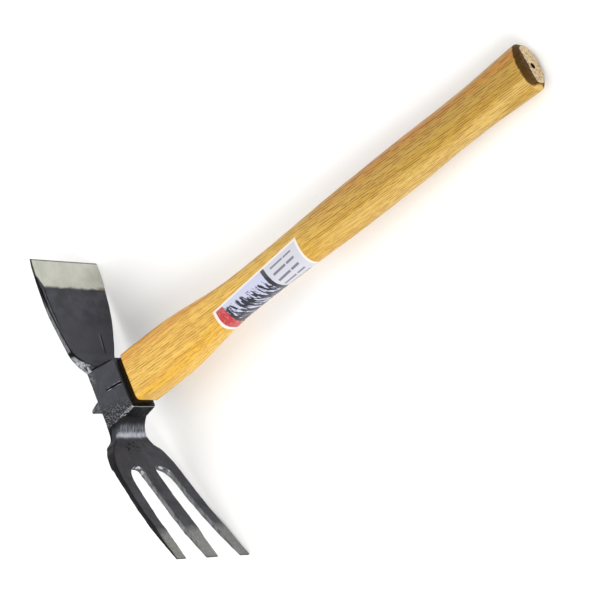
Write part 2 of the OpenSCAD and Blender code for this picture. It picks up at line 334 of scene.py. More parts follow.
def handleGrid():
    s = handleSet
    back, shoulder, reach, chamfer = s["tenonBack"], s["shoulder"], s["reach"], s["chamfer"]
    turn = np.linspace(0, 2 * math.pi, s["around"], endpoint=False)[None, :]
    cos, sin = np.cos(turn), np.sin(turn)

    def ringsAt(x, rise, radius):
        return np.stack([column(x) + 0 * radius, rise + radius * cos, radius * sin], -1)

    def bodyRings(x, shrink, sizeX=None):
        size = handleSize(x if sizeX is None else sizeX)[:, None, :]
        return ringsAt(x, size[..., 4], handleRadius(size, turn, -column(shrink)))

    def circles(x, radius):
        return ringsAt(np.array(x), 0, column(np.array(radius)) + 0 * turn)

    # the tenon's section is the same superellipse with a high power
    tenonX, shrink = np.array([back, back, back + 0.5, -20, -10, 0, shoulder - 0.05]), np.zeros(7)
    shrink[:2] = 3.0, 0.5
    tall, middle = (s["tenonTop"] - s["tenonBottom"]) / 2, (s["tenonTop"] + s["tenonBottom"]) / 2
    tenon = ringsAt(tenonX, middle, superRadius(tall - column(shrink), s["tenonHalf"] - column(shrink),
                                                s["tenonSquare"], turn))
    # the shoulder's edge is a quarter round
    turnIn, edgeRound = np.linspace(0, math.pi / 2, 7), s["shoulderRound"]
    edge = bodyRings(shoulder + edgeRound * (1 - np.cos(turnIn)), edgeRound * (1 - np.sin(turnIn)),
                     shoulder + 0 * turnIn + edgeRound)
    face = tenon[-1:] + (edge[:1] - tenon[-1:]) * np.array([0.02, 0.35, 0.7])[:, None, None]
    face[..., 0] = shoulder
    bodyX = np.arange(shoulder + 1.5, reach - chamfer - 0.3, s["step"])
    body = bodyRings(bodyX, 0 * bodyX)
    cut = np.array([-0.12, 0.06, 0.3, 0.6, 0.85, 0.97])
    start = reach - chamfer
    bevel = bodyRings(start + chamfer * cut, chamfer * np.clip(cut, 0, 1), start + 0 * cut)
    last = bodyRings(np.array([reach]), np.array([chamfer + 0.1]), np.array([start]))
    radius, bottom = s["holeRadius"], reach - s["holeDepth"]
    hole = circles([reach, reach - 0.15, reach - 1, bottom, bottom],
                   [radius + 0.15, radius, radius, radius, 0.3])
    flat = last + (hole[:1] - last) * np.array([0.12, 0.4, 0.75])[:, None, None]
    rings = np.concatenate([tenon, face, edge, body, bevel, last, flat, hole])
    # the varnished wood is a little uneven between the shoulder and the chamfer
    free = (rings[..., 0] > shoulder + 0.2) & (rings[..., 0] < reach - chamfer)
    out = np.stack([0 * turn, cos, sin], -1)
    wave = 0.10 * lumps(rings * [0.25, 1, 1], 11, 3) + 0.03 * lumps(rings * [0.3, 1, 1], 2.2, 4)
    return rings + out * (wave * free)[..., None]


def woodFinish():
    s = handleSet
    f = Finish("varnishedWood", s, s["surface"])
    x, y, z = f.axes
    # growth rings: cylinders round a pith that lies below and behind the handle
    sway = f.point.grain((0.011, 0.05, 0.05)) - 0.5
    fine = f.point.grain((0.03, 0.4, 0.4), 3) - 0.5
    fromPith = ((y + s["pithY"] + sway * 10) ** 2 + (z + s["pithZ"] + sway * 6) ** 2) ** 0.5
    phase = (fromPith / s["ringGap"] + fine * 0.35).fraction()
    late = phase.ramp(0.15, 0.85) * phase.fall(0.93, 1.0)
    # open pores: short dark dashes along the grain, crowded in the late wood, few at the shoulder's foot
    sloped = f.point.stretch((1, 1, 1), s["poreSlope"])
    slopedY, slopedZ = sloped.xyz()[1:]
    rows = ((slopedY + s["pithY"]) ** 2 + (slopedZ + s["pithZ"]) ** 2) ** 0.5 / s["poreGap"] + fine * 0.9
    row = rows.fraction().band(0.5, 0.12, 0.36)
    clear = x.fall(45, 75) * y.fall(-13, -5)
    gate = (sloped.grain((0.11, 1.0, 1.0), 2, 0.6) + late * 0.05 - clear * 0.07).ramp(0.44, 0.58)
    dashes = (sloped.grain((0.15, 3.3, 3.3), 1.5, shift=(9, 4, 2)) - (0.575 - late * 0.06)).ramp(0.0, 0.08)
    pores = (row * gate).most(dashes * 0.5)
    streak = sloped.grain((0.03, 0.7, 0.7), 3, 0.6, shift=(3, 0, 7))
    broad = f.point.grain((0.009, 0.10, 0.10), 3)
    tone = broad.ramp(0.34, 0.68) * 0.45 + late * 0.25 + streak.ramp(0.35, 0.7) * 0.35
    f.colour = f.mix(tone, "light", "deep")
    f.lay(x.ramp(40, 300) * 0.8, "far")
    # painted shade: the upper side turns patchily orange, more so towards the butt
    f.lay((y - z * 0.5).ramp(-3, 6) * broad.ramp(0.34, 0.56) * (0.35 + x.ramp(120, 300) * 0.4), "upperShadeOrange")
    # a painted highlight as a pale streak low on the side, from the middle to the butt
    pale = (y + sway * 14 + (streak - 0.5) * 5).band(-9.5, 0.8, 5.4) * x.ramp(150, 200) * 0.55
    f.lay(pale, "woodHighlight")
    f.lay(pores * (0.56 + x.ramp(140, 240) * 0.32 - pale * 0.5), "pore")
    # sawn end: painted shade as a dark crescent on the chamfer round the end grain, and painted shade down
    # the hole
    endFace = x.ramp(s["reach"] - 0.20, s["reach"] - 0.05)
    wander = f.wander(0.35)
    ring = (x + wander * 1.6).ramp(346.3, 347.3) * (1 - endFace)
    shadedChamfer = ring * (y + wander * 2).ramp(-12.9, -11.4)
    endPores = f.point.grain((0.2, 0.55, 0.55), 3, 0.7).ramp(0.44, 0.60)
    f.lay(endFace, f.mix(endPores * 0.75 + wander * 0.6 - y.ramp(-14, 12) * 0.15, "endGrain", "pore"))
    # the painted shade reaches over the edge onto the end face on the near side
    creep = endFace * (z - y * 0.10 + wander * 2.5).ramp(3.9, 4.9) * (y + wander * 2).ramp(-12.6, -10.8)
    f.lay(creep * 0.9, "buttEndShade")
    # the chamfer is painted half way to the highlight colour; the painted shade then covers its upper part
    f.lay(ring * 0.5, "woodHighlight")
    f.lay(shadedChamfer * (0.90 + dashes * 0.1), "buttEndShade")
    # painted shade down the hole
    f.lay(((y * y + z * z) ** 0.5).fall(1.6, 2.1) * x.ramp(340, 344), "hole")
    # painted shade on the tenon and the shoulder, in the gap against the eye
    shoulderShade = (x + wander * 0.7).fall(5.1, 6.1)
    f.lay(shoulderShade * 0.97, "gapShade")
    bare = (endFace + ring * 0.6 + shoulderShade).least(1.0)
    # the painted shade takes the sheen away as well as the colour
    matt = (shadedChamfer + shoulderShade + creep).least(1.0)
    return f.feed(metal=matt * 0.85, roughness=0.40 + pores * 0.15 + bare * 0.3 + broad * 0.1,
                  coat=(1 - bare) * (1 - pores * 0.5) * 0.28,
                  normal=f.bump(1 - pores - fine * 0.3 - shoulderShade * wander * 2, 0.35, 0.00015))


print("handle")
makeLoft("handleWood", "handle", "varnished_wood", woodFinish(), handleGrid(), sharp=50)


# ---- steel finishes ----

steelSet = {
    "surface": {"IOR": 1.6},
    "scaleDark": paint(42, 43, 50), "scaleLight": paint(61, 62, 71), "scaleWarm": paint(58, 54, 50),
    "scaleLow": paint(62, 63, 71), "sootAndShade": paint(14, 14, 16), "mouthShade": paint(24, 22, 12),
    "bare": paint(196, 198, 200), "bareDull": paint(128, 129, 130), "bit": paint(196, 197, 186),
    "bitDull": paint(172, 173, 163), "tipGround": paint(141, 142, 139), "rust": paint(112, 84, 58),
    "filletHighlight": paint(192, 197, 208), "weldGrey": paint(136, 141, 150),
}


class Steel(Finish):
    # forge scale: bluish black, softly mottled, with small pits where flakes have come off
    def __init__(self, name, coarse=1.0, pale=1.0):
        super().__init__(name, steelSet, steelSet["surface"])
        self.mottle = self.point.noise(0.11 * coarse, 3)
        self.grit = self.point.noise(1.5, 4, 0.65)
        self.pits = self.point.noise(0.5 * coarse, 3, 0.6, 0.6).fall(0.26, 0.36)
        self.colour = self.mix(self.mottle.ramp(0.3, 0.7) * pale, "scaleDark", "scaleLight")
        self.lay(self.grit.ramp(0.50, 0.75) * 0.3, "scaleWarm")
        self.lay(self.pits * 0.7, "sootAndShade")

    def relief(self, mottle, grit, pits):
        return self.mottle * mottle + self.grit * grit - self.pits * pits

    def worn(self, edge, low, high):
        # corners rubbed bare in places
        return edge.ramp(0.35, 1.0) * self.point.noise(0.5, 3, 0.6).ramp(low, high)


def wedgeFinish():
    f = Steel("wedgeScale")
    worn = f.worn(f.mark("edge"), 0.40, 0.62)
    f.lay(worn * 0.45, "bareDull")
    return f.feed(metal=0.55 + worn * 0.3, roughness=0.46 + f.grit * 0.22 - worn * 0.12,
                  normal=f.bump(f.relief(1.6, 0.35, 0.8), 0.5, 0.0003))


def overEye(f):
    # height over the eye's sloping top
    x, y = f.axes[:2]
    return y - (eyeSet["above"] - x * tangent(eyeSet["topSlope"]))


def overSeam(f):
    # height over the torn line where the plate meets its weld, which climbs towards the near side
    y, z = f.axes[1:]
    seamY, seamZ, climb = bladeSet["seam"]
    return y - seamY - (z - seamZ) * climb + f.wander(0.5, 0.65) * 1.6


def bladeFinish():
    f = Steel("bladeScale", 0.9)
    y, z = f.axes[1:]
    edge, inset = f.mark("edge"), f.mark("inset")
    near = z.ramp(2, 6)
    f.lay(y.fall(34, 66) * 0.8, "scaleLow")
    f.lay(f.worn(edge, 0.36, 0.6) * (1 - near) * 0.4, "bareDull")
    # the near side was dressed on the wheel: a pale strip that widens to a bright patch at the foot
    patchy = f.point.grain((0.6, 0.25, 0.6), 3, 0.6).ramp(0.3, 0.6)
    rim = edge.ramp(0.5, 0.9) * near
    strip, upper = rim * y.fall(62, 74) * patchy, rim * y.ramp(62, 74)
    f.lay(strip * 0.8, "bareDull")
    f.lay(strip * y.fall(27, 34) * f.point.noise(0.5, 3).ramp(0.35, 0.55) * 0.9, "bare")
    f.lay(upper * 0.8, "sootAndShade")
    # a dark, torn line of burr beside the near edge, wider at the foot and towards the bit
    ragged = f.wander(0.55, 0.65)
    parts = ((1.1, 1.0), (3.0, y.ramp(62, 72) * 0.7), (2.6, y.fall(31, 38)))
    line = sum(near * (inset + ragged * wide).fall(wide * 0.5, wide) * edge.fall(0.6, 0.95) * much
               for wide, much in parts)
    f.lay(line * 0.85, "sootAndShade")
    # a short scratch low on the face with a painted highlight along one side, and sooty patches and rust just
    # under the ground bit
    slanted = z + (y - 46) * 0.05
    scratch = slanted.band(-11.6, 0.3, 0.8) * y.ramp(33, 35) * y.fall(45, 49)
    f.lay(scratch * 0.95, "sootAndShade")
    # painted highlight beside the scratch
    f.lay(slanted.band(-10.5, 0.2, 0.6) * y.ramp(36, 39) * y.fall(46, 49) * 0.5, "bareDull")
    f.lay(y.ramp(74, 78.6) * f.point.noise(0.3, 3).ramp(0.3, 0.6) * 0.4, "sootAndShade")
    f.lay(y.band(77.4, 0.3, 1.6) * z.fall(-26, -19) * f.point.noise(0.4, 2).ramp(0.35, 0.6) * 0.6, "rust")
    # painted shade in the crease along the top of the eye, with a dark torn line where the plate meets its
    # weld
    crease = overEye(f).fall(2.2, 3.4) * z.fall(9.5, 11)
    crease = crease.most(overSeam(f).band(0, 0.6, 1.3) * z.ramp(7.5, 9))
    f.lay(crease * 0.95, "sootAndShade")
    # a second torn line further in, pale on its outer side, beside the upper half of the near edge
    burr = inset + f.wander(0.4, 0.65) * 1.6
    second = burr.band(3.2, 0.25, 0.7) * near * y.ramp(48, 56) * edge.fall(0.3, 0.6)
    f.lay(burr.band(2.2, 0.2, 0.5) * near * y.ramp(50, 58) * edge.fall(0.3, 0.6) * 0.35, "bareDull")
    f.lay(second * 0.9, "sootAndShade")
    black = (line + crease + upper * 0.8 + scratch * 0.8 + second * 0.8).least(1.0)
    return f.feed(metal=0.5 + (strip * 0.4).most(black * 0.48), roughness=0.42 + f.grit * 0.22,
                  normal=f.bump(f.relief(1.4, 0.35, 0.6) - scratch - line * 0.6, 0.5, 0.0003))


def bitFinish():
    f = Steel("bitGround")
    y, z = f.axes[1:]
    inset, scale = f.mark("inset"), f.colour
    stroke = f.point.grain((2.2, 0.22, 2.2), 3, 0.6)
    cloud = f.point.noise(0.09, 3)
    f.colour = f.mix(stroke.ramp(0.3, 0.7) * 0.35 + cloud.ramp(0.3, 0.7) * 0.6, "bitDull", "bit")
    f.lay(f.point.noise(0.9, 2, 0.6).ramp(0.66, 0.72) * y.fall(84, 88) * 0.5, "bareDull")
    # the scale ends in a soft, uneven line, with a notch of it left at the near corner
    wander = f.wander(0.16)
    limit = 79.8 + wander * 2.4 + z.ramp(24.5, 29.0) * 7 + f.point.noise(0.8, 2) * 0.6
    scaled = (y - limit).fall(-1.0, 1.3)
    f.lay(y.band(80.6, 0.4, 2.2) * z.fall(-27, -19) * 0.6, "rust")
    f.lay(scaled, scale)
    # the cutting edge and the sides are dark lines, heavier on the near side
    lip = (y + wander * 0.4).ramp(98.8, 99.5)
    rim = inset.fall(0.25, 0.7) * 0.7 + z.ramp(2, 6) * (inset + wander).fall(0.5, 1.3) * 0.6
    outline = (lip * 0.7 + rim).least(0.92)
    f.lay(outline, "sootAndShade")
    return f.feed(metal=0.9 - scaled * (1 - outline) * 0.4, roughness=0.42 + stroke * 0.1 + scaled * 0.08,
                  normal=f.bump(stroke * (1 - scaled) * 0.5 + (f.mottle * 1.6 + f.grit * 0.3) * scaled,
                                0.3, 0.00025))


def forkFinish():
    f = Steel("forkScale")
    y, z = f.axes[1:]
    edge, slotWall, front, inset = (f.mark(name) for name in ("edge", "slotWall", "front", "inset"))
    near = z.ramp(6, 10)
    wall = edge.ramp(0.4, 0.9)
    f.lay(f.worn(edge, 0.42, 0.62) * (1 - near) * 0.35, "bareDull")
    f.lay((wall * 0.85 + inset.fall(0.2, 3.0) * y.ramp(-70, -45) * 0.3) * near, "sootAndShade")
    f.lay(y.ramp(-66, -50) * front * 0.3, "scaleLight")
    # a patch of deeper pits on the near half of the palm
    place = (((y + 37.5) / 6) ** 2 + ((z - 4) / 7) ** 2).fall(0.5, 1.2) * front
    scab = f.point.noise(0.55, 3, 0.7, 1.0).ramp(0.52, 0.57) * place
    f.lay(place * 0.35, "scaleLow")
    f.lay(scab, "sootAndShade")
    # the slots are sawn out and filed, so their walls are greyed, with painted highlights near the roots
    filed = slotWall.ramp(0.3, 0.7)
    lines = f.point.grain((0.5, 0.22, 0.5), 3, 0.6)
    f.lay(filed * (0.25 + lines.ramp(0.35, 0.65) * 0.55), "bareDull")
    f.lay(filed * y.ramp(-61, -53) * f.point.noise(0.34, 2).ramp(0.50, 0.58), "bare")
    # chisel faces ground on the tips, with a soft slanting start, and dark ends
    wander = f.wander(0.2)
    ground = (y + 103 + wander * 6 + z * 0.08).fall(-5.0, 4.0) * front
    stroke = f.point.grain((0.5, 0.5, 2.2), 3, 0.65)
    f.lay(ground * (0.45 + stroke.ramp(0.3, 0.7) * 0.55), "tipGround")
    f.lay(y.fall(-126.9, -126.2) * 0.6, "sootAndShade")
    bare = ground.most(filed)
    relief = f.relief(1.5, 0.35, 0.8) - scab * 1.5 + lines * filed * 0.5 + stroke * ground * 0.6
    return f.feed(metal=0.55 + bare.most(wall * near + scab) * 0.35,
                  roughness=0.46 + f.grit * 0.22 - bare * 0.1, normal=f.bump(relief, 0.5, 0.0003))


def bladeWeldFinish():
    # a run along the eye with painted shade in its crease and a dark line at the seam, scoured bright at its
    # near end
    f = Steel("bladeWeldMetal")
    z = f.axes[2]
    lines = f.point.grain((0.7, 0.5, 1.4), 3, 0.6)
    crease = (overEye(f) + lines * 0.8).fall(1.4, 2.6)
    above = overSeam(f)
    bright = z.ramp(5.5, 9.5) * (1 - crease) * above.fall(-0.4, 0.4) * lines.ramp(0.42, 0.58)
    f.lay(bright * 0.8, "bare")
    dark = (crease * z.fall(8, 11)).most(above.band(0, 0.6, 1.3) * z.ramp(7.5, 9))
    f.lay(dark * 0.95, "sootAndShade")
    return f.feed(metal=0.6 + bright.most(dark) * 0.38, roughness=0.46 + f.grit * 0.15 - bright * 0.12,
                  normal=f.bump(lines * 1.2 + f.mottle, 0.6, 0.0004))


def forkWeldFinish():
    # painted shade above, then a lit band down to the palm, painted lighter, with a strip of painted
    # highlight and fine lines across it
    f = Steel("forkWeldMetal")
    y, z = f.axes[1:]
    wander = f.wander(0.25)
    lines = f.point.grain((0.12, 0.12, 1.5), 3, 0.65)
    fine = f.point.grain((0.25, 0.25, 3.2), 2, 0.6)
    band = ((y + wander * 1.5).ramp(-32.2, -29.6) * (y + wander * 2.5).fall(-25.6, -22.0)
            * (z + (y + 30) * 0.45).fall(12.2, 14.2))
    strong = (y + wander).ramp(-31.2, -29.6) * (y + wander).fall(-29.0, -26.4)
    shadedTop = y.ramp(-25.5, -21.0) * 0.7
    f.lay(1 - band, "scaleDark")
    f.lay(shadedTop, "sootAndShade")
    f.lay(band * (0.08 + lines.ramp(0.40, 0.60) * 0.8), "weldGrey")
    f.lay(band * strong * (0.5 + fine.ramp(0.4, 0.6) * 0.5) * 0.95, "filletHighlight")
    return f.feed(metal=0.55 + band.most(shadedTop) * 0.4, roughness=0.46 + f.grit * 0.15 - band * 0.12,
                  normal=f.bump(lines * 1.6 * band + fine * 0.6 + f.mottle, 0.5, 0.0003))


# ---- eye ----

eyeSet = {"back": -25.5, "half": 10.8, "above": 17.3, "below": -18.6, "topSlope": 9.5, "bottomSlope": 8.5,
          "wall": 3.0, "corner": 2.4, "rimRound": 0.7, "windowTop": 14.3, "windowBottom": -15.6,
          "windowHalf": 7.8, "windowCorner": 0.5, "seamY": -0.3, "seamSlope": 7.5, "seamLong": 15,
          "waves": [(0.22, 7, 11), (0.12, 2.6, 12), (0.05, 1.0, 13)]}


def eyeGrid():
    # the wall's profile runs back to front outside, over the mouth's rim, inside to the back, and round
    # again; each profile point is a rounded box, part way from the outer box to the window
    s = eyeSet
    box = roundedBox(44, 92, 8)
    edge = s["rimRound"]
    outside = np.linspace(s["back"] + edge, -edge, 84)
    bend = np.linspace(0, math.pi / 2, 6)[1:-1]
    inside = np.linspace(-edge, s["back"] + edge, 24)
    part = edge / s["wall"]
    frontX = np.concatenate([-edge + edge * np.sin(bend), [0, 0], -edge + edge * np.cos(bend)])
    frontShare = np.concatenate([part * (1 - np.cos(bend)), [part, 1 - part], 1 - part * (1 - np.sin(bend))])
    x = column(np.concatenate([outside, frontX, inside, s["back"] - frontX[::-1]]))
    share = column(np.concatenate([0 * outside, frontShare, 1 + 0 * inside, frontShare[::-1]]))
    top = s["above"] - x * tangent(s["topSlope"])
    bottom = s["below"] + x * tangent(s["bottomSlope"])
    topY = top + (s["windowTop"] - top) * share
    bottomY = bottom + (s["windowBottom"] - bottom) * share
    halfZ = s["half"] + (s["windowHalf"] - s["half"]) * share
    r = s["corner"] * (1 - share) + s["windowCorner"] * share
    z, y = boxAt(box, (topY + bottomY) / 2, (topY - bottomY) / 2, halfZ, r)
    points = np.stack([x + 0 * z, y, z], -1)
    outward = np.stack([0 * z, box["outV"] + 0 * z, box["outU"] + 0 * z], -1)
    free = 1 - share
    # the weld seam of the folded bar: a groove that starts at the mouth, with a raised lip on each side,
    # each a bell curve exp(-(distance / width)^2)
    off = y - (s["seamY"] - x * tangent(s["seamSlope"])) + 0.3 * lumps(points, 2.2, 14)
    onSeam = (box["outU"] > 0.5) * easeStep(-s["seamLong"] - 1.5, -s["seamLong"] + 2, x)
    onSeam = onSeam * (0.2 + 0.8 * (1 - easeStep(-1.6, -0.2, x)))

    def bell(distance, width):
        return np.exp(-((distance / width) ** 2))

    groove = -0.9 * bell(off, 0.45) + 0.35 * bell(np.abs(off) - 1.0, 0.4)
    lip = bell(np.abs(off) - 0.95, 0.38) * onSeam * (0.75 + 0.5 * lumps(points, 3.0, 15))
    points = points + outward * ((uneven(points, s["waves"]) + groove * onSeam) * free)[..., None]
    marks = {"corner": np.abs(box["outU"] * box["outV"]) * 2 * (free > 0.9),
             "rimEdge": np.clip(1 - np.abs(share - 0.12) / 0.14, 0, 1),
             "mouth": easeStep(0.2, 0.32, share) * easeStep(-6, -4, points[..., 0]),
             "under": easeStep(0.5, 0.9, -box["outV"]) * free,
             "seam": lip * free, "slit": bell(off, 0.5) * onSeam * free}
    return points, {mark: values + 0 * z for mark, values in marks.items()}


def eyeFinish():
    f = Steel("eyeScale", 1.0, 0.5)
    x, y, z = f.axes
    corner, rimEdge, mouth, under, seam, slit = (
        f.mark(name) for name in ("corner", "rimEdge", "mouth", "under", "seam", "slit"))
    rough = f.point.noise(0.6, 3, 0.65)
    # painted shade: the underside is black, with faint draw lines left lighter; the mouth's rim and inside
    # are painted dark brown
    draw = f.point.grain((0.18, 0.18, 1.6), 3, 0.6)
    f.lay(under * (0.92 - draw.ramp(0.48, 0.62) * 0.9), "sootAndShade")
    inside = mouth * (1 - abs(z).ramp(7.7, 8.3) * y.ramp(-15.8, -15.2))
    f.lay(inside * 0.95, "mouthShade")
    # painted highlights on the lips either side of the seam, painted shade down its groove, a rough painted
    # highlight along the lower edge, and a thin painted highlight low round the mouth
    f.lay(seam.ramp(0.45, 0.9) * rough.ramp(0.38, 0.5) * 0.9, "bare")
    f.lay(slit * 0.9, "sootAndShade")
    low = corner.ramp(0.30, 0.8) * y.fall(-17.5, -14.5) * z.ramp(5, 9)
    f.lay(low * rough.ramp(0.36, 0.55) * x.ramp(-22, -16) * 0.85, "bare")
    f.lay(rimEdge.ramp(0.4, 0.9) * y.fall(-17, -14) * rough.ramp(0.3, 0.45) * 0.8, "bare")
    worn = corner.ramp(0.5, 1.0).most(rimEdge.ramp(0.5, 1.0)) * rough.ramp(0.5, 0.64)
    f.lay(worn * 0.4, "bareDull")
    # small bright dots low on the sides, where the scale is broken
    lower = (y + x * 0.24 + 6).fall(-12, -2) * (1 - under)
    f.lay(lower * f.point.noise(0.7, 2).ramp(0.32, 0.58) * 0.75, "sootAndShade")
    dots = f.point.noise(1.15, 2, 0.6).ramp(0.53, 0.60) * lower
    f.lay(dots * 0.6, "bareDull")
    # a rubbed patch at the top of the back, and a dark line along the near top corner
    rubbed = x.fall(-23, -19) * y.band(15, 2, 7) * f.point.grain((0.5, 0.9, 1), 3).ramp(0.45, 0.6)
    f.lay(rubbed * 0.45, "bareDull")
    topLine = corner.ramp(0.2, 0.7) * y.ramp(16, 17) * z.ramp(4, 8) * x.fall(-3, -1)
    f.lay(topLine * 0.9, "sootAndShade")
    black = (under * 0.9 + inside + slit + topLine + lower * (1 - dots) * 0.5).least(1.0)
    return f.feed(metal=0.55 + (worn * 0.3).most(black * 0.44), roughness=0.44 + f.grit * 0.22 - worn * 0.1,
                  normal=f.bump(f.relief(1.5, 0.4, 0.8) + dots * 0.6, 0.55, 0.00035))


print("eye")
eyeRings, eyeMarks = eyeGrid()
makeLoft("eyeBand", "eye_band", "forged_iron", eyeFinish(), eyeRings, closed=True, marks=eyeMarks)


# ---- blade ----

bladeSet = {
    # height and distance of the face in front and of the back at the foot, then height and half width
    "neckInner": [(17.0, -20.3), (17.77, -20.4), (22.17, -20.6), (25.47, -21.5), (28.97, -22.8),
                  (32.97, -23.6), (36.0, -23.36), (40.0, -23.03)],
    "back": [(17.0, -25.5), (18.67, -25.5), (23.97, -27.1), (27.67, -27.5), (32.97, -27.2)],
    "half": [(15.0, 10.5), (17.27, 10.6), (19.27, 11), (22.17, 12.4), (27.97, 16), (32.67, 18.8),
             (45.87, 23.2), (61.97, 27.4), (76, 29), (90.6, 29.9), (100.2, 29.4)],
    "foot": 17.6, "bend": 32.97, "bendX": -23.6, "straightFrom": 36, "bevel": 79.0, "edge": 100.2,
    "lean": 4.6, "footThick": 3.6, "thick": 2.3, "edgeThick": 0.9, "corner": 0.75,
    "waves": [(0.11, 8, 21), (0.07, 3.0, 22)], "fineWaves": [(0.02, 1.1, 23)], "sideWaves": [(0.22, 5, 24)],
    # height of the weld's torn line on the plate, the z it is measured at, and its climb
    "seam": (21.8, 8.5, 1.05),
}


def bladeFaces(y):
    # inner and back face: curved neck, then straight and leaning, thinning to the bevel and again to the edge
    s = bladeSet
    straight = s["bendX"] + (y - s["bend"]) * tangent(s["lean"])
    inner = np.where(y < s["straightFrom"], along(s["neckInner"], y), straight)
    grind = (s["thick"] - s["edgeThick"]) / 2
    inner = inner - grind * np.clip((y - s["bevel"]) / (s["edge"] - s["bevel"]), 0, 1)
    thick = np.interp(y, [s["bend"], s["bevel"], s["edge"]], [s["footThick"], s["thick"], s["edgeThick"]])
    back = np.where(y < s["bend"], along(s["back"], y), inner - thick)
    return inner, back


def bladeGrid(y, tipRound):
    s = bladeSet
    box = roundedBox(64, 5, 6)
    inner, back = (column(v) for v in bladeFaces(y))
    half = column(along(s["half"], y))
    r = np.minimum(s["corner"], (inner - back) * 0.42)
    if tipRound:                      # the last few rings draw in to a blunt edge
        pull = 0.75 * column(easeStep(s["edge"] - 0.35, s["edge"] + 0.05, y))
        middle = (inner + back) / 2
        inner, back = inner + (middle - inner) * pull, back + (middle - back) * pull
        r = np.minimum(r, (inner - back) * 0.45)
    z, x = boxAt(box, (inner + back) / 2, (inner - back) / 2, half, r)
    points = np.stack([x, column(y) + 0 * x, z], -1)
    rough = 1 - 0.75 * easeStep(77, 82, points[..., 1])          # the ground bit is smoother than the scale
    height = uneven(points, s["waves"]) * rough + uneven(points, s["fineWaves"])
    sideways = uneven(points, s["sideWaves"]) * np.abs(box["outU"])
    points[..., 0] += height * box["outV"]
    points[..., 2] += (height + sideways) * box["outU"]
    return points, {"edge": np.abs(box["outU"]) + 0 * x, "inset": half - np.abs(z)}


print("blade")
plateRings, plateMarks = bladeGrid(np.linspace(bladeSet["foot"], bladeSet["bevel"], 150), False)
makeLoft("bladePlate", "blade", "forged_iron", bladeFinish(), plateRings, marks=plateMarks)
bitRows = np.concatenate([np.linspace(bladeSet["bevel"], bladeSet["edge"] - 0.4, 52),
                          bladeSet["edge"] - np.array([0.28, 0.16, 0.07, 0.0])])
bitRings, bitMarks = bladeGrid(bitRows, True)
makeLoft("bladeBit", "blade_steel", "ground_steel", bitFinish(), bitRings, marks=bitMarks)


# ---- fork ----

forkSet = {
    "tip": -127.0, "root": -52.0, "neck": -34.0, "chisel": -103.0, "top": -18.0, "topX": -18.3,
    "tipThick": 1.4, "thick": 3.5, "palmThick": 7.8, "corner": 0.9,
    "bend": 320.0, "bendX": 297.76, "bendY": 16.06, "hollow": 4.0, "hollowRadius": 36.0,
    "palmLong": 40, "palmPower": 1.7, "backLevel": -28,
    # middle of the hollow in the palm's back, and where it starts and ends above and below that
    "hollowY": -50.0, "hollowLow": (-27.5, -25), "hollowHigh": (26, 28),
    "palmHalf": 26.4, "tipHalf": 31.9, "middleRoot": 5.8, "middleTip": 4.7, "outerTip": 7.8, "split": 9.4,
    # height and half width down to the tines
    "palm": [(-16, 10.5), (-18.6, 10.6), (-22, 10.8), (-25.5, 11.2), (-29.5, 12.4), (-34, 15.3),
             (-39.4, 21.2), (-47.5, 25.1)],
    # the rounded roots of the slots: height and z of the side on the middle tine, and on the outer one
    "rootMiddle": [(-52, 9.4), (-53.6, 6.6), (-56, 5.8), (-60, 5.8)],
    "rootOuter": [(-52, 9.4), (-53, 12.6), (-55.4, 16.0), (-60, 18.3), (-66, 19.3)],
    # height and z of the crooked middle tine's centre line
    "crook": [(-52, 0), (-66, -0.25), (-84, -0.6), (-96, -0.4), (-108, 0.3), (-118, 0.8), (-127, 0.9)],
    # how much wider the near shoulder is, where, and over what height
    "shoulderMore": 2.0, "shoulderY": -33.8, "shoulderSpread": 2.8,
    "waves": [(0.16, 7, 31), (0.09, 2.6, 32), (0.03, 1.0, 33)],
}


def tineSide(shares, inward=0):
    # (height, z) of the outer tines' outer side at shares k of the way from root to tip, z growing by k^0.6
    s = forkSet
    z = s["palmHalf"] + (s["tipHalf"] - s["palmHalf"]) * shares**0.6 - inward
    return list(zip((s["root"] + (s["tip"] - s["root"]) * shares).tolist(), z.tolist()))


def forkHalf(y):
    return along(forkSet["palm"] + tineSide(np.array([0, 0.12, 0.3, 0.46, 0.64, 0.86, 1])), y)


def bendCircle(y):
    # inner face on a circle: x = centre - sqrt(radius^2 - (y - centre)^2)
    return forkSet["bendX"] - np.sqrt(forkSet["bend"] ** 2 - (y - forkSet["bendY"]) ** 2)


def forkFaces(y):
    # inner and back face; the palm thins to the tines by a power of how far down it is
    s = forkSet
    inner = bendCircle(y)
    lean = np.arcsin((s["bendY"] - y) / s["bend"])
    fall = np.clip(1 - (s["neck"] - y) / s["palmLong"], 0, 1) ** s["palmPower"]
    back = inner - (s["thick"] + (s["palmThick"] - s["thick"]) * fall) / np.cos(lean)
    inner = np.where(y > s["neck"], s["topX"], inner)
    neckBack = back[np.argmin(np.abs(y - s["neck"]))]
    upper = np.interp(y, [s["neck"], s["backLevel"]], [neckBack, eyeSet["back"]])
    back = np.where(y > s["neck"], upper, back)
    # the chisel face runs straight from the circle to the tip
    startX, tipX = bendCircle(s["chisel"]), back[-1] + s["tipThick"]
    face = startX + (tipX - startX) * (s["chisel"] - y) / (s["chisel"] - s["tip"])
    return np.where(y < s["chisel"], face, inner), back


